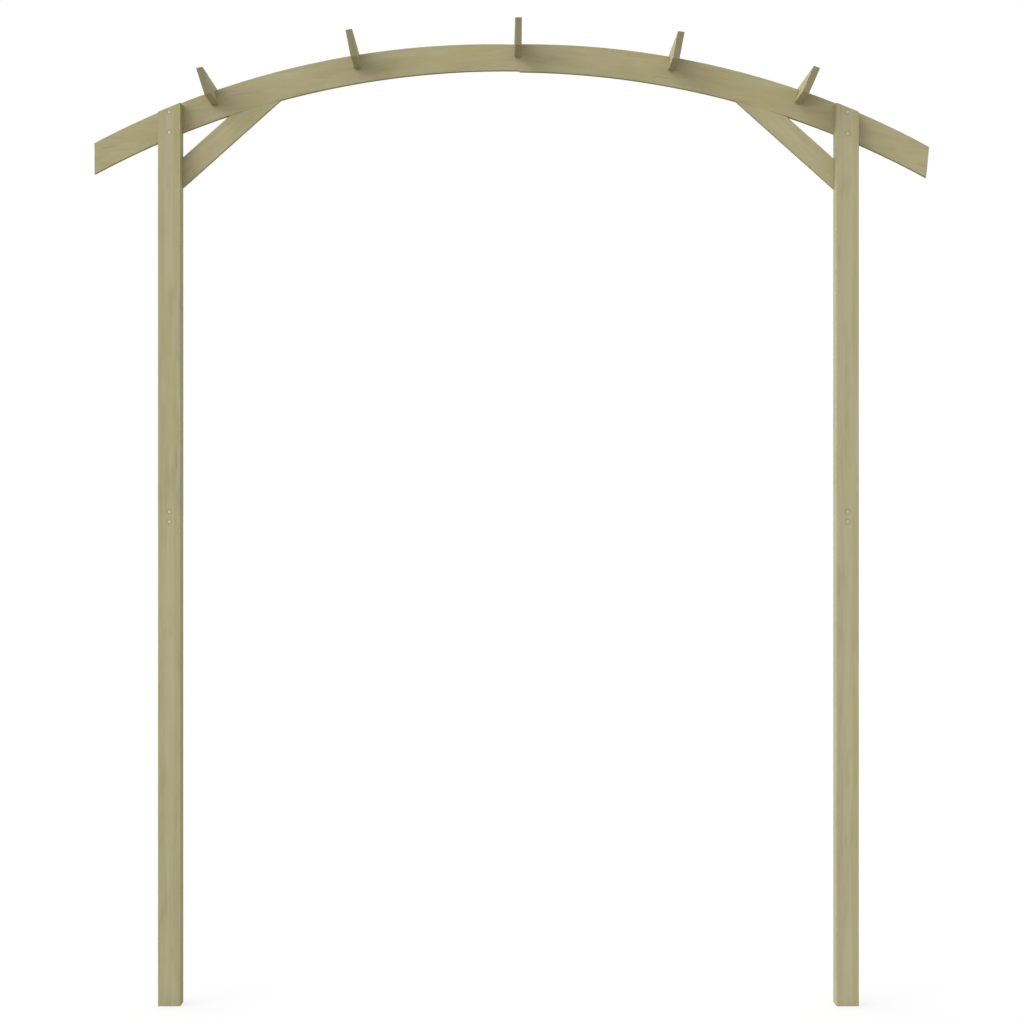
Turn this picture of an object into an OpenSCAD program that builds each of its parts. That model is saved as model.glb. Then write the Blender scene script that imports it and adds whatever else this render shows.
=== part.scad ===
// Wooden garden pergola: a single arch of two posts, a bowed beam in two halves, two braces and five rafters.
// Millimetres, Z up. X runs along the arch, Y runs through it from the front to the back.
// The origin lies on the ground, midway between the posts, in the middle plane of the arch beam.

/* [Posts] */
// Side of the square section of the posts
post_w = 48; // [44:1:56]
// Distance between the centre lines of the two posts
post_spacing = 1441; // [1380:1:1480]
// Length of the lower piece of each post
post_lower_len = 1040; // [900:1:1150]
// How far the slanted top of a post stays below the top edge of the arch, on the post's centre line
post_top_drop = 5.7; // [2:0.1:8]

/* [Arch] */
// Thickness of the boards of the arch and of the braces
board_t = 14; // [12:0.5:18]
// Height of the arch's top edge at the crown, above the ground
crown_height = 2050.4; // [1950:0.1:2150]
// Depth of the left half's board at the crown
left_crown_depth = 56.3; // [52:0.1:64]
// Depth of the right half's board at the crown
right_crown_depth = 58.7; // [52:0.1:64]
// Radius of the top edge of each half
arch_top_radius = 1810; // [1780:1:1840]
// Distance from the middle to the centre of each half's top edge
arch_top_offset = 36; // [28:1:44]
// Radius of the underside of each half
arch_bottom_radius = 1854; // [1830:1:1880]
// Distance from the middle to the centre of each half's underside
arch_bottom_offset = 6; // [0:1:12]
// Distance from the middle to the left end
arch_left_reach = 885; // [840:1:930]
// Distance from the middle to the upper corner of the right end
arch_right_reach = 900; // [840:1:930]
// Lean of the left end, inwards at its foot
left_end_lean = 0; // [0:0.5:10]
// Lean of the right end, inwards at its foot
right_end_lean = 5.5; // [0:0.5:10]
// How far right of the middle rafter's centre the two halves meet
crown_joint_shift = 4; // [-4:0.5:4]

/* [Braces] */
// Width of a brace
brace_w = 48; // [40:1:56]
// Slope of a brace
brace_angle = 41.8; // [38:0.1:46]
// How far below the arch the centre line of a brace meets its post
brace_drop = 85.5; // [75:0.5:100]

/* [Rafters] */
// Height of a rafter
rafter_h = 48; // [44:1:56]
// Thickness of a rafter
rafter_t = 14; // [12:0.5:18]
// Length of a rafter along its top edge
rafter_len = 380; // [300:1:460]
// Angle between a rafter's end cut and its underside
rafter_end_cut = 45; // [35:1:80]
// How far a rafter reaches below the top edge of the arch
rafter_drop = 29; // [24:1:34]
// Share of the crossing that is cut out of the arch, the rest is cut out of the rafter
notch_share = 0.5; // [0.4:0.05:0.6]
// Place of the left outer rafter on the arch
left_outer_x = -634; // [-645:1:-600]
// Lean of the left outer rafter
left_outer_lean = -14.3; // [-22:0.1:-10]
// Place of the left inner rafter on the arch
left_inner_x = -327; // [-400:1:-250]
// Lean of the left inner rafter
left_inner_lean = -9.8; // [-14:0.1:-4]
// How much higher than the others the middle rafter sits
middle_rise = 2; // [0:0.5:4]
// Place of the middle rafter on the arch
middle_x = 20; // [-20:1:25]
// Lean of the middle rafter
middle_lean = 0; // [-3:0.1:3]
// Place of the right inner rafter on the arch
right_inner_x = 353; // [250:1:400]
// Lean of the right inner rafter
right_inner_lean = 8.6; // [4:0.1:14]
// Place of the right outer rafter on the arch
right_outer_x = 629; // [600:1:645]
// Lean of the right outer rafter
right_outer_lean = 20.8; // [10:0.1:22]

/* [Post splices] */
// Diameter of the wooden dowel inside a splice
dowel_d = 24; // [20:1:28]
// Length of the dowel
dowel_len = 80; // [60:1:120]
// Distance between the two screws of a splice
splice_screw_pitch = 21; // [18:1:40]
// How deep a splice screw goes into the dowel
splice_screw_bite = 18; // [10:1:20]

/* [Screws] */
// Diameter of a wood screw's shank
screw_d = 4; // [3:0.5:5]
// Diameter of a countersunk head
head_d = 7.4; // [7:0.1:9]
// Height of the head's cylindrical rim
head_rim = 0.5; // [0.3:0.1:0.8]
// Width of the cross slot in the head
slot_w = 0.9; // [0.6:0.1:1.2]
// Depth of the cross slot
slot_depth = 1.4; // [0.8:0.1:1.6]
// Wood left between the tip of a screw and the far face of the board that it ends in
tip_cover = 3; // [2:0.5:6]
// Height of the lower screw in a post top above the underside of the arch
lap_screw_rise = 5.6; // [5:0.1:12]
// Depth of the upper screw in a post top below the slanted cut, on the post's centre line
lap_screw_drop = 10.3; // [7:0.1:16]
// Length of a brace screw
brace_screw_len = 45; // [38:1:50]
// Height of the lower brace screw above the brace's lower corner
brace_toe_rise = 13; // [11:0.5:18]
// Distance of the upper brace screw from the brace's upper tip
brace_tip_inset = 26; // [22:1:34]
// How deep a rafter screw goes into the arch
rafter_screw_bite = 26; // [16:1:34]

/* [Crown plate] */
// Length of the steel plate behind the crown joint
plate_len = 120; // [90:1:160]
// Height of the plate
plate_h = 20; // [16:1:22]
// Thickness of the plate
plate_t = 2; // [1.5:0.5:3]
// Radius of the plate's corners
plate_corner = 4; // [2:0.5:6]
// Gap between the plate's lower edge and the underside of the arch
plate_edge = 4; // [3:0.5:6]
// Distance from an end of the plate to its outer hole
plate_hole_inset = 12; // [9:0.5:16]
// Distance between the two holes in each half of the plate
plate_hole_pitch = 28; // [18:1:30]

/* [Clearances] */
// Gap on each side of a notch
notch_gap = 0.15; // [0.1:0.05:0.4]
// Gap where a curved end butts on the arch
butt_gap = 0.2; // [0.1:0.05:0.4]
// Gap round a screw in its hole
screw_gap = 0.1; // [0.05:0.05:0.3]
// Gap round a dowel in its bore
dowel_gap = 0.2; // [0.1:0.05:0.4]

/* [Hidden] */

// Segments of a small round shape and of the long arcs of the arch
$fn = 48;
arc_fn = 1440;

// How far a cutting shape runs past what it cuts, and the side of a block that cuts a post top or an arch end
over = 1;
cut_block = 5 * post_w;

left = -1;
right = 1;

post_x = post_spacing / 2;
post_inner_x = post_x - post_w / 2;
post_back_y = board_t / 2;
post_front_y = post_back_y - post_w;
post_mid_y = post_back_y - post_w / 2;

arch_top_centre_z = crown_height - arch_top_radius;
crown_joint_x = middle_x + crown_joint_shift;

// Each rafter's place on the arch, its lean, and how far it reaches below the arch's top edge
RAFTERS = [
    [left_outer_x, left_outer_lean, rafter_drop],
    [left_inner_x, left_inner_lean, rafter_drop],
    [middle_x, middle_lean, rafter_drop - middle_rise],
    [right_inner_x, right_inner_lean, rafter_drop],
    [right_outer_x, right_outer_lean, rafter_drop]
];

// A countersunk head is a cone of 90 degrees under its rim
head_r = head_d / 2;
shank_r = screw_d / 2;
head_h = head_rim + head_r - shank_r;
slot_len = 1.2 * head_r;
tip_len = 1.5 * screw_d;
tip_r = shank_r / 8;

// Height of the arch's edges at a place along it
function arch_side(x) = x < crown_joint_x ? left : right;
function crown_depth(side) = side == left ? left_crown_depth : right_crown_depth;
function arch_bottom_centre_z(side) = crown_height - crown_depth(side) - arch_bottom_radius;
function arch_top_z(x) =
    arch_top_centre_z + sqrt(pow(arch_top_radius, 2) - pow(x - arch_side(x) * arch_top_offset, 2));
function arch_bottom_z(x) =
    arch_bottom_centre_z(arch_side(x))
    + sqrt(pow(arch_bottom_radius, 2) - pow(x - arch_side(x) * arch_bottom_offset, 2));

// The slanted cut across a post top has the slope of the arch's top edge there
post_cut_angle = asin((post_x - arch_top_offset) / arch_top_radius);
post_cut_z = arch_top_z(-post_x) - post_top_drop;

// A brace's centre line starts on the inner face of its post, and its lower edge runs half a width beside it
function brace_z(side) = arch_bottom_z(side * post_inner_x) - brace_drop;
function brace_foot_z(side) = brace_z(side) - brace_w / 2 / cos(brace_angle);

// Run from the post to the tip, where the brace's lower edge meets the arch's underside
// The edge is a line and the underside a circle, so the run is the first root of a square equation
// Both depend only on the brace's place under the circle, which is the same on both sides
foot_out = post_inner_x - arch_bottom_offset;
foot_up = brace_foot_z(right) - arch_bottom_centre_z(right);
tip_a = 1 + pow(tan(brace_angle), 2);
tip_b = foot_up * tan(brace_angle) - foot_out;
tip_c = pow(foot_out, 2) + pow(foot_up, 2) - pow(arch_bottom_radius, 2);
brace_tip_run = (-tip_b + sqrt(pow(tip_b, 2) - tip_a * tip_c)) / tip_a;
brace_blank_len = 2 * brace_tip_run / cos(brace_angle);

// Seats of the two screws in a brace: each head's face lies level with the lowest point of its rim
brace_toe_run = (brace_toe_rise - head_r) / tan(brace_angle);
brace_tip_screw_run = brace_tip_run - brace_tip_inset;
brace_tip_screw_rise = (brace_tip_screw_run + head_r) * tan(brace_angle);

// Height of the arch's notch floor above the underside of a rafter that reaches this far below the top edge
function notch_floor(drop) = drop * (1 - notch_share);

// Lengths of the screws, from the faces of their heads
lap_screw_len = post_w - tip_cover;
splice_screw_len = (post_w - dowel_d) / 2 + splice_screw_bite;
rafter_screw_len = rafter_h - notch_floor(rafter_drop) + rafter_screw_bite;
plate_screw_len = plate_t + board_t - tip_cover;

// Heights of the screws in the posts
function lap_screw_z(side) = [arch_bottom_z(side * post_x) + lap_screw_rise, post_cut_z - lap_screw_drop];
splice_screw_z = [post_lower_len - splice_screw_pitch / 2, post_lower_len + splice_screw_pitch / 2];

// The plate behind the crown joint, which stays above the undersides of both halves
plate_bottom_z = max(arch_bottom_z(crown_joint_x - over), arch_bottom_z(crown_joint_x)) + plate_edge;
plate_mid_z = plate_bottom_z + plate_h / 2;
plate_hole_run = plate_len / 2 - plate_hole_inset;
plate_inner_run = plate_hole_run - plate_hole_pitch;
plate_hole_runs = [-plate_hole_run, -plate_inner_run, plate_inner_run, plate_hole_run];

wood = [0.66, 0.63, 0.47];
wood_dark = [0.60, 0.58, 0.43];
wood_light = [0.70, 0.67, 0.51];
zinc = [0.84, 0.81, 0.66];

// A wood screw along +Z: the face of its head lies at z = 0
module screw(len) {
    difference() {
        union() {
            cylinder(r = head_r, h = head_rim);
            translate([0, 0, head_rim])
                cylinder(r1 = head_r, r2 = shank_r, h = head_h - head_rim);
            cylinder(r = shank_r, h = len - tip_len);
            translate([0, 0, len - tip_len])
                cylinder(r1 = shank_r, r2 = tip_r, h = tip_len);
        }
        for (turn = [0, 90])
            rotate([0, 0, turn])
                translate([-slot_len / 2, -slot_w / 2, -over])
                    cube([slot_len, slot_w, slot_depth + over]);
    }
}

// The hole that such a screw sits in, open above its head by the length open
module screw_hole(len, open) {
    translate([0, 0, -open])
        cylinder(r = head_r + screw_gap, h = open + head_rim);
    translate([0, 0, head_rim])
        cylinder(r1 = head_r + screw_gap, r2 = shank_r + screw_gap, h = head_h - head_rim);
    cylinder(r = shank_r + screw_gap, h = len + screw_gap);
}

// Places for the two screws in one post's splice, for the two in its top and for the two in one brace
module at_splice_screws(side) {
    for (z = splice_screw_z)
        translate([side * post_x, post_front_y, z])
            rotate([-90, 0, 0])
                children();
}

module at_lap_screws(side) {
    for (z = lap_screw_z(side))
        translate([side * post_x, post_front_y, z])
            rotate([-90, 0, 0])
                children();
}

module at_brace_screws(side) {
    translate([side * (post_inner_x - brace_toe_run), 0, brace_foot_z(side) + brace_toe_rise])
        rotate([0, side * 90, 0])
            children();
    translate([side * (post_inner_x - brace_tip_screw_run), 0, brace_foot_z(side) + brace_tip_screw_rise])
        children();
}

// Puts children on a rafter's centre line: the origin comes to the rafter's underside, Z runs up the rafter
module on_rafter(place) {
    translate([place[0], 0, arch_top_z(place[0])])
        rotate([0, place[1], 0])
            translate([0, 0, -place[2]])
                children();
}

module at_rafter_screw(place) {
    on_rafter(place)
        translate([0, 0, rafter_h])
            rotate([180, 0, 0])
                children();
}

module at_plate_screws() {
    for (run = plate_hole_runs)
        translate([crown_joint_x + run, board_t / 2 + plate_t, plate_mid_z])
            rotate([90, 0, 0])
                children();
}

// The bore for the dowel, centred on the splice
module dowel_bore(side) {
    translate([side * post_x, post_mid_y, post_lower_len])
        cylinder(d = dowel_d + 2 * dowel_gap, h = dowel_len + 2 * dowel_gap, center = true);
}

module splice_dowel(side) {
    color(wood_light)
        difference() {
            translate([side * post_x, post_mid_y, post_lower_len])
                cylinder(d = dowel_d, h = dowel_len, center = true);
            at_splice_screws(side)
                screw_hole(splice_screw_len, over);
        }
}

module post_lower(side) {
    color(wood)
        difference() {
            translate([side * post_x - post_w / 2, post_front_y, 0])
                cube([post_w, post_w, post_lower_len]);
            dowel_bore(side);
            at_splice_screws(side)
                screw_hole(splice_screw_len, over);
        }
}

// The upper piece has a slanted top and a lap on its back, where the arch lies flush
module post_upper(side) {
    lap_top = arch_top_z(-post_inner_x) + over;
    color(wood)
        difference() {
            translate([side * post_x - post_w / 2, post_front_y, post_lower_len])
                cube([post_w, post_w, lap_top - post_lower_len]);
            translate([side * post_x, 0, post_cut_z])
                rotate([0, side * post_cut_angle, 0])
                    translate([0, 0, cut_block / 2])
                        cube(cut_block, center = true);
            difference() {
                translate([side * post_x, (cut_block - board_t) / 2, post_cut_z])
                    cube(cut_block, center = true);
                arch_underside_disc(side, -butt_gap, 2 * board_t);
            }
            dowel_bore(side);
            at_splice_screws(side)
                screw_hole(splice_screw_len, over);
            at_lap_screws(side)
                screw_hole(lap_screw_len, over);
            at_brace_screws(side)
                screw_hole(brace_screw_len, over);
        }
}

// The disc under one half of the arch, whose rim is that half's underside
module arch_underside_disc(side, extra, thick) {
    translate([side * arch_bottom_offset, 0, arch_bottom_centre_z(side)])
        rotate([90, 0, 0])
            cylinder(r = arch_bottom_radius + extra, h = thick, center = true, $fn = arc_fn);
}

// One half of the beam: a disc's rim less the disc under the arch, from the crown joint to the end cut
module arch_half(side) {
    reach = side == left ? arch_left_reach : arch_right_reach;
    lean = side == left ? left_end_lean : right_end_lean;
    from = side == left ? -reach : crown_joint_x;
    to = side == left ? crown_joint_x : reach;
    end_top_z = arch_top_z(side * reach);
    low = arch_bottom_z(side * reach) - post_w;
    color(wood)
        difference() {
            intersection() {
                translate([side * arch_top_offset, 0, arch_top_centre_z])
                    rotate([90, 0, 0])
                        cylinder(r = arch_top_radius, h = board_t, center = true, $fn = arc_fn);
                translate([from, -board_t, low])
                    cube([to - from, 2 * board_t, crown_height - low + over]);
            }
            arch_underside_disc(side, 0, 2 * board_t);
            translate([side * reach, 0, end_top_z])
                rotate([0, side * lean, 0])
                    translate([side * cut_block / 2, 0, 0])
                        cube(cut_block, center = true);
            for (place = RAFTERS) {
                on_rafter(place)
                    translate([-rafter_t / 2 - notch_gap, -board_t, notch_floor(place[2])])
                        cube([rafter_t + 2 * notch_gap, 2 * board_t, rafter_drop + rafter_t]);
                at_rafter_screw(place)
                    screw_hole(rafter_screw_len, over);
            }
            at_lap_screws(side)
                screw_hole(lap_screw_len, over);
            at_brace_screws(side)
                screw_hole(brace_screw_len, over);
            at_plate_screws()
                screw_hole(plate_screw_len, over);
        }
}

// A board between the post and the arch, cut square to neither: upright at the post, curved under the arch
module brace(side) {
    color(wood)
        difference() {
            intersection() {
                translate([side * post_inner_x, 0, brace_z(side)])
                    rotate([0, side * brace_angle, 0])
                        cube([brace_blank_len, board_t, brace_w], center = true);
                translate([side * (post_inner_x - brace_blank_len / 2), 0, brace_z(side)])
                    cube([brace_blank_len, 2 * board_t, 2 * brace_blank_len], center = true);
                arch_underside_disc(side, -butt_gap, 2 * board_t);
            }
            at_brace_screws(side)
                screw_hole(brace_screw_len, brace_w);
        }
}

// A rafter: slanted at both ends, notched from below over the arch
module rafter(place) {
    top_half = rafter_len / 2;
    foot_half = top_half - rafter_h / tan(rafter_end_cut);
    color(wood_dark)
        difference() {
            on_rafter(place)
                rotate([90, 0, 90])
                    linear_extrude(height = rafter_t, center = true)
                        polygon([[-foot_half, 0], [foot_half, 0], [top_half, rafter_h], [-top_half, rafter_h]]);
            on_rafter(place)
                translate([-rafter_t, -board_t / 2 - notch_gap, -over])
                    cube([2 * rafter_t, board_t + 2 * notch_gap, notch_floor(place[2]) + notch_gap + over]);
            at_rafter_screw(place)
                screw_hole(rafter_screw_len, over);
        }
}

// A flat bar with round corners and four countersunk holes, screwed behind the crown joint
module crown_plate() {
    color(zinc)
        difference() {
            translate([crown_joint_x, board_t / 2 + plate_t, plate_mid_z])
                rotate([90, 0, 0])
                    linear_extrude(height = plate_t)
                        union() {
                            square([plate_len - 2 * plate_corner, plate_h], center = true);
                            square([plate_len, plate_h - 2 * plate_corner], center = true);
                            for (x = [left, right], y = [left, right])
                                translate([x * (plate_len / 2 - plate_corner), y * (plate_h / 2 - plate_corner)])
                                    circle(r = plate_corner);
                        }
            at_plate_screws()
                screw_hole(plate_screw_len, over);
        }
}

module splice_screws() {
    color(zinc)
        for (side = [left, right])
            at_splice_screws(side)
                screw(splice_screw_len);
}

module post_top_screws() {
    color(zinc)
        for (side = [left, right])
            at_lap_screws(side)
                screw(lap_screw_len);
}

module brace_screws() {
    color(zinc)
        for (side = [left, right])
            at_brace_screws(side)
                screw(brace_screw_len);
}

module rafter_screws() {
    color(zinc)
        for (place = RAFTERS)
            at_rafter_screw(place)
                screw(rafter_screw_len);
}

module crown_plate_screws() {
    color(zinc)
        at_plate_screws()
            screw(plate_screw_len);
}

post_lower(left);  // post_left_lower
post_upper(left);  // post_left_upper
post_lower(right);  // post_right_lower
post_upper(right);  // post_right_upper
splice_dowel(left);  // splice_dowel_left
splice_dowel(right);  // splice_dowel_right
arch_half(left);  // arch_left
arch_half(right);  // arch_right
brace(left);  // brace_left
brace(right);  // brace_right
rafter(RAFTERS[0]);  // rafter_left_outer
rafter(RAFTERS[1]);  // rafter_left_inner
rafter(RAFTERS[2]);  // rafter_middle
rafter(RAFTERS[3]);  // rafter_right_inner
rafter(RAFTERS[4]);  // rafter_right_outer
crown_plate();
splice_screws();
post_top_screws();
brace_screws();
rafter_screws();
crown_plate_screws();
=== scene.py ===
"""The looks of the wooden garden pergola: materials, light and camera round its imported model."""

import math

import bpy
import numpy as np
from mathutils import Matrix, Vector


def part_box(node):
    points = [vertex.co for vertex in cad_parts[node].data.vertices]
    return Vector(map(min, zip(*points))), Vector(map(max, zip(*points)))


MM = 0.001

# The camera that the photograph was matched with: level, looking along +Y, ahead of the posts' front faces
IMAGE_SIDE = 1024
FOCAL_PIXELS = 2425.6
SENSOR_MM = 36.0
CAMERA_AHEAD = 5.152
CAMERA_X = -0.0306
CAMERA_Z = 1.0442
AXIS_PIXEL = (494.0, 514.7)
CAMERA_FAR = 200.0

# Softened edges of the sawn and planed boards
EDGE_RADIUS = 0.9 * MM
EDGE_ANGLE = math.radians(35)
EDGE_SHORTEST = 3 * MM
EDGE_SEGMENTS = 2

# Corners this close are one corner, and triangles that lean less from each other are one flat face
WELD_REACH = 0.01 * MM
FLAT_ANGLE = math.radians(0.05)

# How far each brace lies against the beam, across and upwards, and how near a seam its edges lie
SEAM_RUN = 109 * MM
SEAM_RISE = 35 * MM
SEAM_REACH = 1 * MM

# Dry, planed wood: hardly any shine, and rougher on some fibres than on others
WOOD_ROUGHNESS = 0.84
ROUGHNESS_SPREAD = 0.22
WOOD_SPECULAR = 0.04

# The wood's relief: its size and strength, and what part of that size each mark stands up or sinks in
WOOD_BUMP = 0.3 * MM
BUMP_STRENGTH = 0.35
RING_RISE = 0.35
FIBRE_RISE = -0.8
CHECK_RISE = -1.2
DENT_RISE = -2.2

# How far the growth rings wander from true circles, slowly and quickly
SWAY = 20 * MM
TREMBLE = 1.4 * MM

# Within each ring, from 0 to 1, the dark latewood comes slowly and ends suddenly
LATEWOOD = (0.30, 0.86, 0.90, 1.0)

# How plain the faintest year's ring is beside the plainest
RING_FAINTEST = 0.3

# Knots run straight through a board and are longer along its grain, so a length along it counts for less
KNOT_SHAPE = (0.62, 1.0, 0.0)

# In radii of a knot: how far it pushes the rings aside, how far off that ends, and where its heart fades out
KNOT_PUSH = 2.2
KNOT_REACH = 5.0
KNOT_HEART = (0.65, 1.1)

# How far apart the pieces of wood lie in the endless pattern, and in the strengths of their rings
SEED_STEP = (7.31, 3.17, 1.73)
RING_SEED_STEP = 11.0

# How often each of the wood's patterns changes in a metre, along the grain, across it and through the board
SWAY_SCALE = (1.3, 6.0, 6.0)
TREMBLE_SCALE = (9.0, 70.0, 70.0)
FIBRE_SCALE = (16.0, 620.0, 620.0)
CLOUD_SCALE = (2.6, 16.0, 16.0)
BLOTCH_SCALE = (11.0, 42.0, 42.0)
CHECK_SCALE = (10.0, 300.0, 300.0)
SAW_SCALE = (900.0, 260.0, 60.0)

# The same for the streaks of the posts and of the thinner boards, and how plainly the latter show their grain
POST_STREAKS = (1.1, 46.0, 46.0)
BOARD_STREAKS = (3.4, 46.0, 46.0)
BOARD_CONTRAST = 0.7

# How many times as often as the streaks the fine lines and the tinted patches change
FINE_SCALE = (4.0, 5.0, 5.0)
TINT_SCALE = (1.4, 0.62, 0.62)

# Marks that follow a pattern: the values at which each starts and is full, and its share of the colour there
PALE_STREAK = (0.48, 0.72, 0.75)
DARK_STREAK = (0.52, 0.28, 0.42)
TINT = (0.46, 0.68, 0.55)
PALE_BLOTCH = (0.50, 0.72, 0.34)
DARK_BLOTCH = (0.48, 0.28, 0.22)
FINE_LINE = (0.52, 0.74, 0.24)
DARK_FIBRE = (0.55, 0.80, 0.20)
PALE_FIBRE = (0.45, 0.22, 0.16)
# The last mark paints undersides warmer by their facing alone: a painted warm shade
FACING_DOWN = (-0.80, -0.95, 0.75)

# Other marks' shares of the colour
RING_SHARE = 0.15
CHECK_SHARE = 0.55
KNOT_SHARE = 0.22
SAWN_SHARE = 0.55
SAWN_PALENESS = 0.60
WORN_SHARE = 0.12
# The wood round a screw dent is painted darker: a painted shade
DENT_PAINTED_SHADE = 0.55

# The values at which a thin line opens into a check, a place has checks, a face counts as a sawn end, an edge
# counts as rounded, and a place on it is worn
CHECK_LINE = (0.70, 0.78)
CHECK_PLACE = (0.50, 0.62)
FACING_END = (0.40, 0.62)
ROUNDED = (0.05, 0.20)
WORN_PLACE = (0.35, 0.60)

# How far round a screw head the wood is pressed in, in head radii, and four times as far along the screw
DENT_REACH = 2.1
DENT_SHAPE = (1.0, 0.25, 1.0)

# The light band up the middle of a post's front and the yellower one beside it: where each comes and goes
# across the post, how far they waver, and how a pattern of its own takes them from faint to strong
LIGHT_BAND = (-13 * MM, -2 * MM, 6 * MM, 15 * MM)
YELLOW_BAND = (8 * MM, 15 * MM, 17 * MM, 22 * MM)
BAND_WAVER = 10 * MM
BAND_SCALE = (3.1, 4.0, 4.0)
BAND_FADE = (0.38, 0.60, 0.15, 0.70)

# Each kind of board's display colours: middle, pale and dark wood, then green, rosy and yellow tints
POST_WOOD = (
    (170, 164, 129), (179, 173, 141), (141, 132, 97),
    (163, 165, 127), (176, 164, 138), (171, 164, 116),
)
BEAM_WOOD = (
    (172, 164, 128), (181, 173, 140), (142, 131, 95),
    (165, 164, 126), (177, 163, 136), (172, 163, 116),
)
BRACE_WOOD = (
    (175, 167, 132), (184, 176, 143), (145, 134, 98),
    (168, 168, 130), (180, 166, 139), (175, 166, 120),
)
RAFTER_WOOD = (
    (168, 161, 124), (176, 169, 134), (134, 125, 89),
    (163, 161, 123), (171, 161, 129), (169, 161, 118),
)
DOWEL_WOOD = (
    (186, 170, 130), (194, 178, 140), (150, 132, 92),
    (180, 168, 126), (190, 168, 134), (186, 168, 118),
)

# Where the rings' middle lies from a board's own middle, across and through the board
POST_PITH = (6 * MM, 58 * MM)
BEAM_PITH = (-210 * MM, 70 * MM)
BRACE_PITH = (30 * MM, 45 * MM)
RAFTER_PITH = (35 * MM, 30 * MM)
DOWEL_PITH = (20 * MM, 20 * MM)

# The piece of wood that each board is, picked so that its streaks are like those in the photograph
POST_SEEDS = {"left": 1.0, "right": 3.0}
BEAM_SEEDS = {"left": 96.0, "right": 7.0}
BRACE_SEEDS = {"left": 249.0, "right": 100.0}
DOWEL_SEEDS = {"left": 20.0, "right": 21.0}
RAFTER_SEED = 12.0

# How wide a growth ring is in the boards and in the dowels' denser wood
RING = 2.9 * MM
DOWEL_RING = 1.8 * MM

# The rafters' sawn end colours, painted paler on the left and darker on the right to even out their light
SAWN_END_TONES_AND_PAINTED_LIGHT = {
    "left_outer": (181, 174, 138),
    "left_inner": (186, 178, 142),
    "middle": (178, 171, 135),
    "right_inner": (172, 164, 126),
    "right_outer": (165, 158, 122),
}

# Undersides, painted warmer by their facing alone as a painted warm shade, and the hearts of knots
UNDERSIDE_PAINTED_WARM_SHADE = (180, 168, 118)
KNOT_WOOD = (150, 124, 88)

# The beam's grain runs straight through each half, which slopes by this much on average
BEAM_SLOPE = math.radians(8)

# Display colour, metallic share and roughness of the screws' pale zinc and of the steel bar's greyer one
SCREW_ZINC = ((232, 224, 184), 0.30, 0.45)
PLATE_ZINC = ((196, 198, 198), 0.90, 0.42)
ZINC_SPREAD = 0.30

# Zinc's mottling and scratches: how often they change in a metre, how dark the one is and how deep the other
MOTTLE_SCALE = (420.0, 420.0, 420.0)
MOTTLE = (0.35, 0.75, 1.0)
MOTTLE_SHADE = 0.72
SCRATCH_SCALE = (300.0, 2600.0, 5200.0)
SCRATCH_STRENGTH = 0.2
SCRATCH_DEPTH = 0.05 * MM

# The screw heads' darkening: its colour, how much at the rims, as painted shade, and on the whole heads in
# the right post, between which parts of a head's radius it thickens, and how far past the rim it is drawn
HEAD_DARK_COLOUR = (158, 150, 112)
RIM_PAINTED_SHADE = 0.7
RIGHT_HEAD_DARKENING = 0.4
DARKENING_FROM = 0.50
DARKENING_TO = 0.95
HEAD_MARGIN = 1.2

# The left brace's two small knots, across the width of the photograph and up, with their radius
BRACE_KNOTS = ((-0.6722, 1.7818, 3.2 * MM), (-0.5987, 1.8795, 2.6 * MM))

# Light of the room: its level, how it changes towards +X, +Y and +Z, and how much of it the floor returns
SKY_LEVEL = 2.05
SKY_ACROSS = -0.854
SKY_BACK = 0.301
SKY_UP = -1.2
FLOOR_BOUNCE = 0.287

# What the camera sees of the floor: a glow of its own, and the light that falls on it, less the shadow
FLOOR_GLOW = 0.742
FLOOR_SHADE = 0.20

# How far the floor reaches from the middle, and how far below the feet it lies
FLOOR_REACH = 60.0
FLOOR_DROP = 0.2 * MM

# The broad light: its strength, how wide it looks, and where it comes from
KEY_POWER = 0.572
KEY_ANGLE = math.radians(40)
KEY_FROM = (-1.0, -1.0, 0.8)


def srgb(red, green, blue):
    """A display colour of 0 to 255 as the linear colour that shaders take."""
    linear = []
    for value in (red, green, blue):
        v = value / 255
        linear.append(v / 12.92 if v <= 0.04045 else ((v + 0.055) / 1.055) ** 2.4)
    return (*linear, 1.0)


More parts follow.
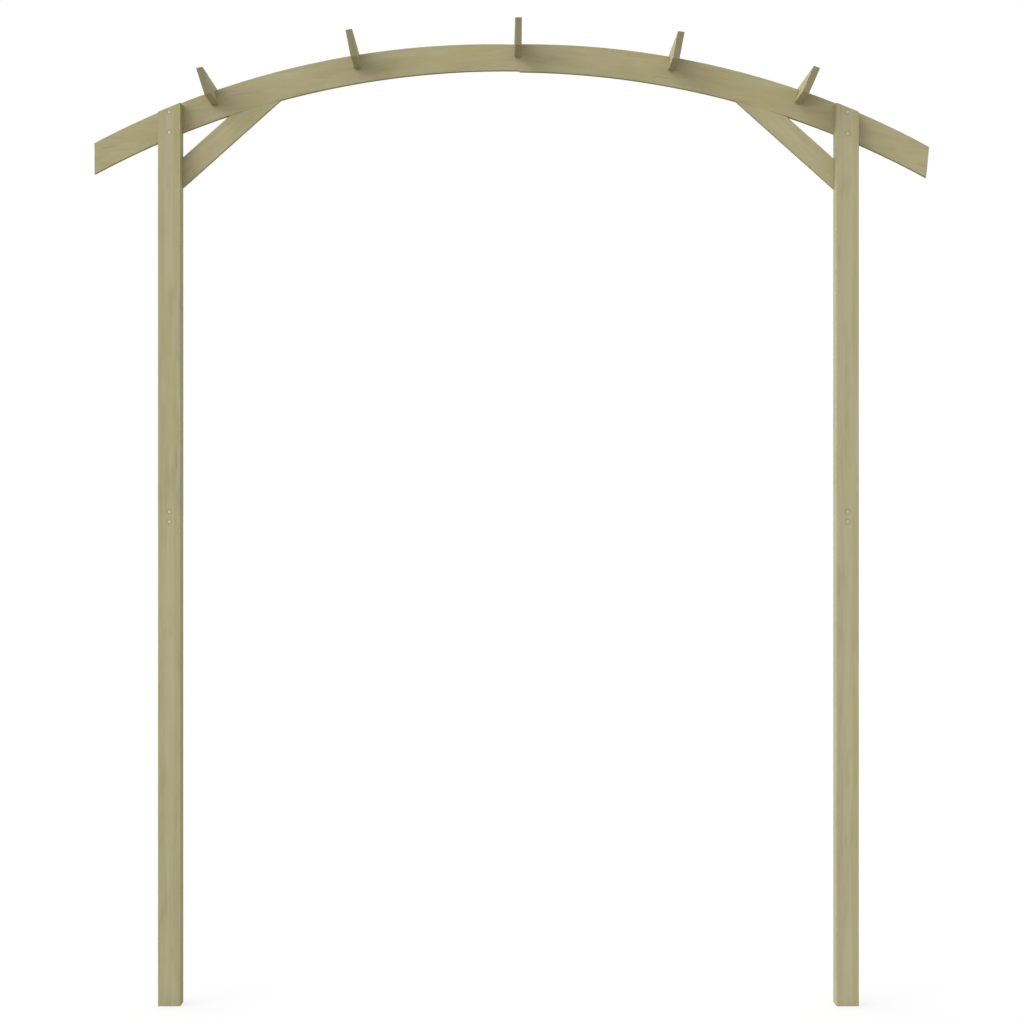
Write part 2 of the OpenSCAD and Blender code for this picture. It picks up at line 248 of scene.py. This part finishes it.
class Graph:
    """A node tree, with short calls for the nodes that the materials and the edges use."""

    def __init__(self, tree):
        self.tree = tree
        tree.nodes.clear()

    def node(self, kind, **settings):
        made = self.tree.nodes.new(kind)
        for name, value in settings.items():
            setattr(made, name, value)
        return made

    def put(self, socket, value):
        """Links a socket to an output, or writes a plain value on it."""
        if isinstance(value, bpy.types.NodeSocket):
            self.tree.links.new(value, socket)
        elif value is not None:
            socket.default_value = value

    def math(self, operation, a, b=None, c=None):
        made = self.node("ShaderNodeMath", operation=operation)
        for socket, value in zip(made.inputs, (a, b, c)):
            self.put(socket, value)
        return made.outputs[0]

    def vector(self, operation, a, b=None):
        made = self.node("ShaderNodeVectorMath", operation=operation)
        self.put(made.inputs[0], a)
        if b is not None:
            self.put(made.inputs[1], b)
        scalar = operation in ("LENGTH", "DISTANCE", "DOT_PRODUCT")
        return made.outputs["Value" if scalar else "Vector"]

    def split(self, vector):
        made = self.node("ShaderNodeSeparateXYZ")
        self.put(made.inputs[0], vector)
        return made.outputs

    def noise(self, vector, stretch, detail=2.0, roughness=0.5):
        """Noise on a stretched copy of a vector in metres: its value and its three-part colour."""
        made = self.node("ShaderNodeTexNoise")
        self.put(made.inputs["Vector"], self.vector("MULTIPLY", vector, stretch))
        made.inputs["Scale"].default_value = 1.0
        made.inputs["Detail"].default_value = detail
        made.inputs["Roughness"].default_value = roughness
        return made.outputs[0], made.outputs[1]

    def steps(self, value, low, high, to_low=0.0, to_high=1.0, smooth=True):
        """Takes low to to_low and high to to_high, in a soft S or a straight line, and stops at both."""
        made = self.node("ShaderNodeMapRange", interpolation_type="SMOOTHSTEP" if smooth else "LINEAR")
        for socket, number in zip(made.inputs, (value, low, high, to_low, to_high)):
            self.put(socket, number)
        return made.outputs[0]

    def between(self, value, edges):
        """Rises from 0 to 1 between the first two of four edges, and falls back between the last two."""
        rise = self.steps(value, edges[0], edges[1])
        return self.math("MULTIPLY", rise, self.steps(value, edges[2], edges[3], 1.0, 0.0))

    def around(self, value, middle, spread):
        """A pattern of 0 to 1 as a number that varies round a middle."""
        return self.math("MULTIPLY_ADD", value, spread, middle - spread / 2)

    def mix(self, factor, a, b):
        made = self.node("ShaderNodeMix", data_type="RGBA")
        self.put(made.inputs[0], factor)
        self.put(made.inputs[6], a)
        self.put(made.inputs[7], b)
        return made.outputs[2]

    def stain(self, base, colour, value, mark, strength=1.0):
        """Adds a colour as a value goes from the mark's first number to its second, up to its third."""
        return self.mix(self.steps(value, mark[0], mark[1], 0.0, mark[2] * strength), base, colour)

    def seen_as(self, shader, otherwise):
        """One shader for what the camera sees, also in shiny or clear things, and another for other rays."""
        path = self.node("ShaderNodeLightPath").outputs
        through = self.math("MAXIMUM", path["Is Glossy Ray"], path["Is Transmission Ray"])
        choose = self.node("ShaderNodeMixShader")
        self.put(choose.inputs[0], self.math("MAXIMUM", path["Is Camera Ray"], through))
        self.put(choose.inputs[1], otherwise.outputs[0])
        self.put(choose.inputs[2], shader.outputs[0])
        return choose

    def surface(self, shader, kind="ShaderNodeOutputMaterial"):
        """Makes a shader the whole graph's result."""
        self.put(self.node(kind).inputs["Surface"], shader.outputs[0])


def new_material(name):
    """An empty material and the graph of its nodes."""
    material = bpy.data.materials.new(name)
    material.use_nodes = True
    return material, Graph(material.node_tree)


def coat(g, colour, roughness, height, strength, size, specular=0.5, metallic=0.0):
    """Ends a material: its shader, with a relief of a strength and a size in metres."""
    bump = g.node("ShaderNodeBump")
    bump.inputs["Strength"].default_value = strength
    bump.inputs["Distance"].default_value = size
    g.put(bump.inputs["Height"], height)
    shader = g.node("ShaderNodeBsdfPrincipled")
    shader.inputs["Specular IOR Level"].default_value = specular
    shader.inputs["Metallic"].default_value = metallic
    g.put(shader.inputs["Base Color"], colour)
    g.put(shader.inputs["Roughness"], roughness)
    g.put(shader.inputs["Normal"], bump.outputs[0])
    g.surface(shader)


def times(a, b):
    """Two scales multiplied, part by part."""
    return tuple(x * y for x, y in zip(a, b))


def corners(node):
    """A CAD node's vertices as an array, in metres."""
    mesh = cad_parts[node].data
    places = np.zeros(len(mesh.vertices) * 3)
    mesh.vertices.foreach_get("co", places)
    return places.reshape(-1, 3)


def solids(node):
    """The boxes of the separate solids in a CAD node, as (centre, half size) pairs."""
    places = corners(node).round(6)
    _, same = np.unique(places, axis=0, return_inverse=True)
    same = same.ravel()
    root = list(range(same.max() + 1))

    def find(i):
        while root[i] != i:
            root[i] = root[root[i]]
            i = root[i]
        return i

    # Corners that an edge joins belong to one solid
    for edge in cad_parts[node].data.edges:
        a, b = (find(int(same[v])) for v in edge.vertices)
        root[a] = b
    labels = np.array([find(int(i)) for i in same])
    found = []
    for label in np.unique(labels):
        part = places[labels == label]
        low, high = part.min(0), part.max(0)
        found.append((Vector((low + high) / 2), Vector((high - low) / 2)))
    return found


def flattest(node, leave_out):
    """The direction that most of a CAD node's area faces, apart from faces along one axis."""
    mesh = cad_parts[node].data
    sums = {}
    for face in mesh.polygons:
        n = face.normal
        if abs(n.dot(leave_out)) > 0.5:
            continue
        # A board's two sides face opposite ways, and count as one direction
        if n.x < 0 or (abs(n.x) < 1e-4 and n.z < 0):
            n = -n
        key = tuple(round(v, 2) for v in n)
        total, area = sums.get(key, (Vector(), 0.0))
        sums[key] = (total + n * face.area, area + face.area)
    return max(sums.values(), key=lambda pair: pair[1])[0].normalized()


def board_frame(node, along, across):
    """A board's middle and its own axes: X along the grain, Y across its wide face, Z through it."""
    low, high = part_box(node)
    along = Vector(along).normalized()
    across = (Vector(across) - along * along.dot(Vector(across))).normalized()
    axes = Matrix((along, across, along.cross(across))).transposed()
    return (low + high) / 2, axes


def growth_rings(g, board, domain, pith, knots, ring, seed):
    """The latewood lines, from 0 to 1, and the knots' hearts, or None.

    The rings are shells round a pith line beside the board, so its faces show lines along the grain and its
    sawn ends show arcs.
    """
    slow = g.vector("SUBTRACT", g.noise(domain, SWAY_SCALE)[1], (0.5, 0.5, 0.5))
    quick = g.vector("SUBTRACT", g.noise(domain, TREMBLE_SCALE)[1], (0.5, 0.5, 0.5))
    sway = g.vector("MULTIPLY", slow, (0.0, SWAY, SWAY))
    tremble = g.vector("MULTIPLY", quick, (0.0, TREMBLE, TREMBLE))
    bent = g.vector("ADD", board, g.vector("ADD", sway, tremble))
    spread = g.vector("MULTIPLY", g.vector("SUBTRACT", bent, (0.0, *pith)), (0.0, 1.0, 1.0))
    depth = g.vector("LENGTH", spread)

    # Knots push the rings aside
    hearts = None
    for along, across, size in knots:
        flat = g.vector("MULTIPLY", g.vector("SUBTRACT", bent, (along, across, 0.0)), KNOT_SHAPE)
        reach = g.vector("LENGTH", flat)
        depth = g.math("ADD", depth, g.steps(reach, 0.0, KNOT_REACH * size, KNOT_PUSH * size, 0.0))
        heart = g.steps(reach, KNOT_HEART[0] * size, KNOT_HEART[1] * size, 1.0, 0.0)
        hearts = heart if hearts is None else g.math("MAXIMUM", hearts, heart)

    turn = g.math("DIVIDE", depth, ring)
    late = g.between(g.math("FRACT", turn), LATEWOOD)

    # Each year's ring has its own strength
    chance = g.node("ShaderNodeTexWhiteNoise", noise_dimensions="1D")
    g.put(chance.inputs["W"], g.math("ADD", g.math("FLOOR", turn), seed * RING_SEED_STEP))
    strength = g.steps(chance.outputs["Value"], 0.0, 1.0, RING_FAINTEST, 1.0, smooth=False)
    return g.math("MULTIPLY", late, strength), hearts


def ground_colour(g, board, domain, cloud, colours, streaks, contrast, band):
    """The wood's colour under its grain: long streaks, tinted patches, a post's light band and blotches."""
    middle, pale, dark, green, rosy, yellow = colours
    streak = g.noise(domain, streaks, 3.0, 0.6)[0]
    base = g.stain(middle, pale, streak, PALE_STREAK, contrast)
    base = g.stain(base, dark, streak, DARK_STREAK, contrast)

    # Treatment salts and resin leave soft green, rosy and yellow patches along the grain
    patch = g.split(g.noise(domain, times(streaks, TINT_SCALE), 2.0, 0.6)[1])
    for amount, tint in zip(patch, (green, rosy, yellow)):
        base = g.stain(base, tint, amount, TINT)
    if band:
        across = g.math("ADD", g.split(board)[1], g.around(cloud, 0.0, BAND_WAVER))
        fade = g.steps(g.noise(domain, BAND_SCALE, 1.0)[0], *BAND_FADE)
        for edges, tint in ((LIGHT_BAND, pale), (YELLOW_BAND, yellow)):
            base = g.mix(g.math("MULTIPLY", g.between(across, edges), fade), base, tint)

    # Soft blotches, a few times longer than wide
    blotch = g.noise(domain, BLOTCH_SCALE, 2.0, 0.6)[0]
    base = g.stain(base, pale, blotch, PALE_BLOTCH)
    return g.stain(base, dark, blotch, DARK_BLOTCH)


def pressed(g, base, height, where, dents, dark):
    """The colour and the relief, with the wood round each screw head pressed in and painted darker as shade.
    """
    for x, y, z, radius in dents:
        away = g.vector("MULTIPLY", g.vector("SUBTRACT", where, (x, y, z)), DENT_SHAPE)
        press = g.steps(g.vector("LENGTH", away), radius, DENT_REACH * radius, 1.0, 0.0)
        height = g.math("MULTIPLY_ADD", press, DENT_RISE, height)
        base = g.mix(g.math("MULTIPLY", press, DENT_PAINTED_SHADE), base, dark)
    return base, height


def pine(
    name, place, axes, seed, pith, palette,
    knots=(), dents=(), band=False, streaks=POST_STREAKS, contrast=1.0, ring=RING, sawn=None,
):
    """Planed, pressure-treated pine: growth rings, fibres, tints, checks, sawn ends and worn edges.

    place and axes are the board's own frame. seed says which piece of wood it is, and pith where its rings'
    middle lies, across and through the board. knots are (along, across, radius) and dents (x, y, z, radius).
    band adds the light band of the posts' fronts, and sawn is the colour of the sawn ends, with painted
    light.
    """
    material, g = new_material(name)
    texture = g.node("ShaderNodeTexCoord")
    where, normal = texture.outputs["Object"], texture.outputs["Normal"]
    placing = g.node("ShaderNodeMapping", vector_type="TEXTURE")
    placing.inputs["Location"].default_value = place
    placing.inputs["Rotation"].default_value = axes.to_euler("XYZ")
    g.put(placing.inputs["Vector"], where)
    board = placing.outputs[0]
    domain = g.vector("ADD", board, tuple(seed * step for step in SEED_STEP))
    fibre = g.noise(domain, FIBRE_SCALE, 3.0, 0.6)[0]
    cloud = g.noise(domain, CLOUD_SCALE)[0]
    colours = [srgb(*colour) for colour in palette]
    middle, pale, dark = colours[:3]
    base = ground_colour(g, board, domain, cloud, colours, streaks, contrast, band)

    # Growth rings, and the fine lines and single fibres between them
    late, hearts = growth_rings(g, board, domain, pith, knots, ring, seed)
    base = g.mix(g.math("MULTIPLY", late, RING_SHARE * contrast), base, dark)
    base = g.stain(base, dark, g.noise(domain, times(streaks, FINE_SCALE))[0], FINE_LINE, contrast)
    base = g.stain(base, dark, fibre, DARK_FIBRE)
    base = g.stain(base, pale, fibre, PALE_FIBRE)

    # Drying opens a few thin checks along the grain
    thin = g.noise(domain, CHECK_SCALE, 1.0)[0]
    check = g.math("MULTIPLY", g.steps(thin, *CHECK_LINE), g.steps(cloud, *CHECK_PLACE))
    base = g.mix(g.math("MULTIPLY", check, CHECK_SHARE), base, dark)
    if hearts is not None:
        base = g.mix(g.math("MULTIPLY", hearts, KNOT_SHARE), base, srgb(*KNOT_WOOD))

    # Sawn ends, also slanted ones, are rough and even in colour, and undersides get a painted warm shade
    end = g.steps(g.math("ABSOLUTE", g.vector("DOT_PRODUCT", normal, tuple(axes.col[0]))), *FACING_END)
    cut = srgb(*sawn) if sawn else g.mix(SAWN_PALENESS, middle, pale)
    base = g.mix(g.math("MULTIPLY", end, SAWN_SHARE), base, cut)
    base = g.stain(base, srgb(*UNDERSIDE_PAINTED_WARM_SHADE), g.split(normal)[2], FACING_DOWN)

    # Handling wears the softened edges pale
    side = g.math("ABSOLUTE", g.vector("DOT_PRODUCT", normal, tuple(axes.col[2])))
    edge = g.math("MULTIPLY", side, g.math("SUBTRACT", 1.0, side))
    wear = g.steps(cloud, *WORN_PLACE, 0.0, WORN_SHARE)
    base = g.mix(g.math("MULTIPLY", g.steps(edge, *ROUNDED), wear), base, pale)

    # The relief: rings stand up, fibres and checks sink in, and the saw leaves its marks on the ends
    height = g.math("MULTIPLY_ADD", late, RING_RISE, g.math("MULTIPLY", fibre, FIBRE_RISE))
    height = g.math("MULTIPLY_ADD", check, CHECK_RISE, height)
    height = g.math("ADD", height, g.math("MULTIPLY", end, g.noise(domain, SAW_SCALE)[0]))
    # Screw dents sink in, and the wood round them is painted darker as shade
    base, height = pressed(g, base, height, where, dents, dark)
    roughness = g.around(fibre, WOOD_ROUGHNESS, ROUGHNESS_SPREAD)
    coat(g, base, roughness, height, BUMP_STRENGTH, WOOD_BUMP, specular=WOOD_SPECULAR)
    return material


def zinc(name, colour, metallic, roughness, heads=()):
    """Plated steel, mottled and scratched. Screw heads have painted rim shade; some are darker all over.

    heads are (centre, radius, darkening at the centre), with the heads facing along Y.
    """
    material, g = new_material(name)
    where = g.node("ShaderNodeTexCoord").outputs["Object"]
    mottle = g.noise(where, MOTTLE_SCALE, 3.0)[0]
    scratch = g.noise(where, SCRATCH_SCALE)[0]
    dull = tuple(v * MOTTLE_SHADE for v in srgb(*colour)[:3]) + (1.0,)
    base = g.stain(srgb(*colour), dull, mottle, MOTTLE)
    # Each head is painted darker towards its rim, a painted shade; the right post's heads are darker all over
    # too
    for centre, radius, centre_darkening in heads:
        across = g.vector("MULTIPLY", g.vector("SUBTRACT", where, centre), (1.0, 0.0, 1.0))
        outward = g.vector("LENGTH", across)
        head_darkening = g.steps(outward, DARKENING_FROM * radius, DARKENING_TO * radius, centre_darkening, RIM_PAINTED_SHADE)
        on_head = g.math("LESS_THAN", outward, HEAD_MARGIN * radius)
        base = g.mix(g.math("MULTIPLY", head_darkening, on_head), base, srgb(*HEAD_DARK_COLOUR))
    roughness = g.around(scratch, roughness, ZINC_SPREAD)
    coat(g, base, roughness, scratch, SCRATCH_STRENGTH, SCRATCH_DEPTH, metallic=metallic)
    return material


def dress(node, material):
    """Gives a CAD node its material."""
    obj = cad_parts[node]
    obj.data.materials.clear()
    obj.data.materials.append(material)


def edge_marker():
    """Geometry nodes that mark the edges to round: long, sharp ones, without hole rims and tight seams."""
    tree = bpy.data.node_groups.new("long sharp edges", "GeometryNodeTree")
    tree.is_modifier = True
    for way in ("INPUT", "OUTPUT"):
        tree.interface.new_socket(name="Geometry", in_out=way, socket_type="NodeSocketGeometry")
    g = Graph(tree)
    ends = g.node("GeometryNodeInputMeshEdgeVertices")
    start, end = ends.outputs["Position 1"], ends.outputs["Position 2"]
    length = g.vector("DISTANCE", start, end)
    angle = g.node("GeometryNodeInputMeshEdgeAngle").outputs["Unsigned Angle"]
    sharp = g.math("GREATER_THAN", angle, EDGE_ANGLE)
    marked = g.math("MULTIPLY", sharp, g.math("GREATER_THAN", length, EDGE_SHORTEST))
    x, _, z = g.split(g.vector("MULTIPLY", g.vector("ADD", start, end), (0.5, 0.5, 0.5)))

    # The crown joint, the splices and the line where a brace lies against the beam show no groove
    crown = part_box("arch_left")[1].x
    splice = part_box("post_left_lower")[1].z
    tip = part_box("brace_left")[1]
    beside = g.math("COMPARE", g.math("ABSOLUTE", x), SEAM_RUN / 2 - tip.x, SEAM_RUN / 2 + SEAM_REACH)
    level = g.math("COMPARE", z, tip.z - SEAM_RISE / 2, SEAM_RISE / 2 + 2 * SEAM_REACH)
    seams = (
        g.math("COMPARE", x, crown, SEAM_REACH),
        g.math("COMPARE", z, splice, SEAM_REACH),
        g.math("MULTIPLY", beside, level),
    )
    for seam in seams:
        marked = g.math("MULTIPLY", marked, g.math("SUBTRACT", 1.0, seam))
    smooth = g.node("GeometryNodeSetShadeSmooth")
    hard = g.node("GeometryNodeSetShadeSmooth", domain="EDGE")
    hard.inputs["Shade Smooth"].default_value = False
    store = g.node("GeometryNodeStoreNamedAttribute", data_type="FLOAT", domain="EDGE")
    store.inputs["Name"].default_value = "bevel_weight_edge"
    g.put(smooth.inputs["Geometry"], g.node("NodeGroupInput").outputs[0])
    g.put(hard.inputs["Geometry"], smooth.outputs[0])
    g.put(hard.inputs["Selection"], g.math("SUBTRACT", sharp, marked))
    g.put(store.inputs["Geometry"], hard.outputs[0])
    g.put(store.inputs["Value"], marked)
    g.put(g.node("NodeGroupOutput").inputs[0], store.outputs[0])
    return tree


def soften(node):
    """Rounds a board's long edges, and shades its flat faces flat."""
    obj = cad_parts[node]
    weld = obj.modifiers.new("weld", "WELD")
    weld.merge_threshold = WELD_REACH
    whole = obj.modifiers.new("whole faces", "DECIMATE")
    whole.decimate_type = "DISSOLVE"
    whole.angle_limit = FLAT_ANGLE
    obj.modifiers.new("edges", "NODES").node_group = marker
    bevel = obj.modifiers.new("soft edges", "BEVEL")
    bevel.width = EDGE_RADIUS
    bevel.segments = EDGE_SEGMENTS
    bevel.limit_method = "WEIGHT"
    bevel.use_clamp_overlap = False
    flat = obj.modifiers.new("flat faces", "WEIGHTED_NORMAL")
    flat.mode = "FACE_AREA"
    flat.keep_sharp = True


def dress_posts():
    """The two pieces of a post come from one length of timber, so its grain runs on through the splice."""
    screws = solids("splice_screws") + solids("post_top_screws")
    for side, seed in POST_SEEDS.items():
        low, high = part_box(f"post_{side}_lower")
        dents = [(c.x, low.y, c.z, h.x) for c, h in screws if low.x < c.x < high.x]
        # The board's Y runs along +X, so its thickness runs along +Y
        place, axes = board_frame(f"post_{side}_lower", (0, 0, 1), (1, 0, 0))
        wood = pine(f"pine_post_{side}", place, axes, seed, POST_PITH, POST_WOOD, dents=dents, band=True)
        for half in ("lower", "upper"):
            dress(f"post_{side}_{half}", wood)
            soften(f"post_{side}_{half}")


def dress_beam():
    for side, seed in BEAM_SEEDS.items():
        node = f"arch_{side}"
        climb = 1 if side == "left" else -1
        along = Vector((1, 0, climb * math.tan(BEAM_SLOPE)))
        place, axes = board_frame(node, along, (0, 0, 1))
        dress(node, pine(
            f"pine_{node}", place, axes, seed, BEAM_PITH, BEAM_WOOD,
            streaks=BOARD_STREAKS, contrast=BOARD_CONTRAST,
        ))
        soften(node)


def dress_braces():
    for side, seed in BRACE_SEEDS.items():
        node = f"brace_{side}"
        across = flattest(node, Vector((0, 1, 0)))
        along = Vector((0, 1, 0)).cross(across)
        place, axes = board_frame(node, along, across)
        knots = []
        for x, z, size in BRACE_KNOTS if side == "left" else ():
            spot = axes.transposed() @ (Vector((x, place.y, z)) - place)
            knots.append((spot.x, spot.y, size))
        dress(node, pine(
            f"pine_{node}", place, axes, seed, BRACE_PITH, BRACE_WOOD,
            knots=knots, streaks=BOARD_STREAKS, contrast=BOARD_CONTRAST,
        ))
        soften(node)


def dress_rafters():
    # Each rafter's sawn end colour carries painted light and shade as well as its pale end grain
    for count, (where, sawn) in enumerate(SAWN_END_TONES_AND_PAINTED_LIGHT.items()):
        node = f"rafter_{where}"
        thick = flattest(node, Vector((0, 1, 0)))
        along = Vector((0, 1, 0))
        place, axes = board_frame(node, along, thick.cross(along))
        dress(node, pine(
            f"pine_{node}", place, axes, RAFTER_SEED + count, RAFTER_PITH, RAFTER_WOOD,
            streaks=BOARD_STREAKS, contrast=BOARD_CONTRAST, sawn=sawn,
        ))
        soften(node)


def dress_metal():
    for node in ("splice_screws", "post_top_screws"):
        heads = [(tuple(centre), half.x, RIGHT_HEAD_DARKENING if centre.x > 0 else 0.0) for centre, half in solids(node)]
        dress(node, zinc(f"pale_zinc_{node}", *SCREW_ZINC, heads))
    screw = zinc("pale_zinc", *SCREW_ZINC)
    for node in ("brace_screws", "rafter_screws", "crown_plate_screws"):
        dress(node, screw)
    dress("crown_plate", zinc("zinc_plate", *PLATE_ZINC))


def dress_dowels():
    for side, seed in DOWEL_SEEDS.items():
        node = f"splice_dowel_{side}"
        place, axes = board_frame(node, (0, 0, 1), (1, 0, 0))
        dress(node, pine(f"wood_{node}", place, axes, seed, DOWEL_PITH, DOWEL_WOOD, ring=DOWEL_RING))


def make_floor():
    """A plain pale floor: it looks nearly white to the camera, and it keeps the object's shadow."""
    mesh = bpy.data.meshes.new("floor")
    rim = [(x * FLOOR_REACH, y * FLOOR_REACH, 0) for x, y in ((-1, -1), (1, -1), (1, 1), (-1, 1))]
    mesh.from_pydata(rim, [], [(0, 1, 2, 3)])
    floor = bpy.data.objects.new("floor", mesh)
    floor.location.z = -FLOOR_DROP
    bpy.context.scene.collection.objects.link(floor)
    material, g = new_material("pale_floor")
    glow = g.node("ShaderNodeEmission")
    glow.inputs["Strength"].default_value = FLOOR_GLOW
    shade = g.node("ShaderNodeBsdfDiffuse")
    shade.inputs["Color"].default_value = (FLOOR_SHADE, FLOOR_SHADE, FLOOR_SHADE, 1)
    both = g.node("ShaderNodeAddShader")
    g.put(both.inputs[0], glow.outputs[0])
    g.put(both.inputs[1], shade.outputs[0])
    bounce = g.node("ShaderNodeBsdfDiffuse")
    bounce.inputs["Color"].default_value = (FLOOR_BOUNCE, FLOOR_BOUNCE, FLOOR_BOUNCE, 1)
    g.surface(g.seen_as(both, otherwise=bounce))
    mesh.materials.append(material)


def make_sky():
    """Soft light from all round, brighter from the left and from below. The camera sees plain white."""
    world = bpy.data.worlds.new("studio")
    bpy.context.scene.world = world
    world.use_nodes = True
    g = Graph(world.node_tree)
    direction = g.split(g.node("ShaderNodeTexCoord").outputs["Generated"])
    level = SKY_LEVEL
    for part, change in zip(direction, (SKY_ACROSS, SKY_BACK, SKY_UP)):
        level = g.math("MULTIPLY_ADD", part, change, level)
    light = g.node("ShaderNodeBackground")
    light.inputs["Color"].default_value = (1, 1, 1, 1)
    g.put(light.inputs["Strength"], g.math("MAXIMUM", level, 0.0))
    white = g.node("ShaderNodeBackground")
    white.inputs["Color"].default_value = (1, 1, 1, 1)
    white.inputs["Strength"].default_value = 1.0
    g.surface(g.seen_as(white, otherwise=light), "ShaderNodeOutputWorld")


def make_sun():
    """One broad, soft light from the front left, so every board's shadow falls a little to its right."""
    data = bpy.data.lights.new("key", "SUN")
    data.angle = KEY_ANGLE
    data.energy = KEY_POWER
    sun = bpy.data.objects.new("key", data)
    sun.rotation_euler = Vector(KEY_FROM).to_track_quat("Z", "Y").to_euler()
    bpy.context.scene.collection.objects.link(sun)


def make_camera():
    """The photograph's camera: level, with its picture shifted rather than the camera turned."""
    data = bpy.data.cameras.new("camera")
    data.sensor_width = SENSOR_MM
    data.lens = FOCAL_PIXELS * SENSOR_MM / IMAGE_SIDE
    data.shift_x = (IMAGE_SIDE / 2 - AXIS_PIXEL[0]) / IMAGE_SIDE
    data.shift_y = (AXIS_PIXEL[1] - IMAGE_SIDE / 2) / IMAGE_SIDE
    data.clip_end = CAMERA_FAR
    camera = bpy.data.objects.new("camera", data)
    post_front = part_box("post_left_lower")[0].y
    camera.location = (CAMERA_X, post_front - CAMERA_AHEAD, CAMERA_Z)
    camera.rotation_euler = (math.pi / 2, 0, 0)
    bpy.context.scene.collection.objects.link(camera)
    bpy.context.scene.camera = camera


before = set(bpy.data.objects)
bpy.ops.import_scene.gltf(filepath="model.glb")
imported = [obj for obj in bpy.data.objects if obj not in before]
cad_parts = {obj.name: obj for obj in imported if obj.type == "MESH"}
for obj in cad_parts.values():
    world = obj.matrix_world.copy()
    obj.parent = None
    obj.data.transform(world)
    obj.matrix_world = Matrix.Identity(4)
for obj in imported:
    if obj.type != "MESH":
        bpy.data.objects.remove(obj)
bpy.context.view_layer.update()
marker = edge_marker()

dress_posts()
dress_beam()
dress_braces()
dress_rafters()
dress_metal()
dress_dowels()
make_floor()
make_sky()
make_camera()
make_sun()

bpy.context.scene.view_settings.view_transform = "Standard"
